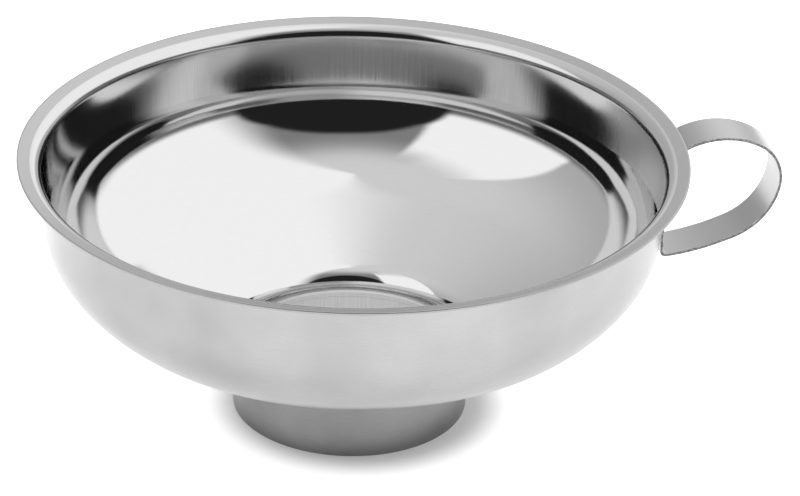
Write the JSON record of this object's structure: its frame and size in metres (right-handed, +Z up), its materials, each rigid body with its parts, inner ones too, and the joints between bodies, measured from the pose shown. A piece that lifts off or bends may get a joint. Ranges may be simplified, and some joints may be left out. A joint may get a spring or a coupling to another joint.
{
  "type": "canning funnel",
  "caption": "Wide-mouth steel funnel with a shallow flanged bowl, a short straight spout collar and a strap loop handle, for filling jars.",
  "frame": {"origin": "centre of the spout's bottom edge, on the funnel's axis", "axes": "+Z up the funnel's axis from the spout to the rim, +X from the axis towards the handle"},
  "size_m": [0.1758, 0.1524, 0.0647],
  "materials": {
    "bowl_steel": "mirror-polished inside, fine satin outside",
    "collar_steel": "satin",
    "strap_steel": "satin faces with rough sheared edges",
    "weld_steel": "dull weld metal"
  },
  "bodies": {
    "root": {"bowl": "bowl_steel", "spout_collar": "collar_steel", "collar_seam_weld": "weld_steel", "handle_strap": "strap_steel", "wall_spot_welds": "weld_steel", "strap_overlap_welds": "weld_steel"}
  },
  "joints": []
}
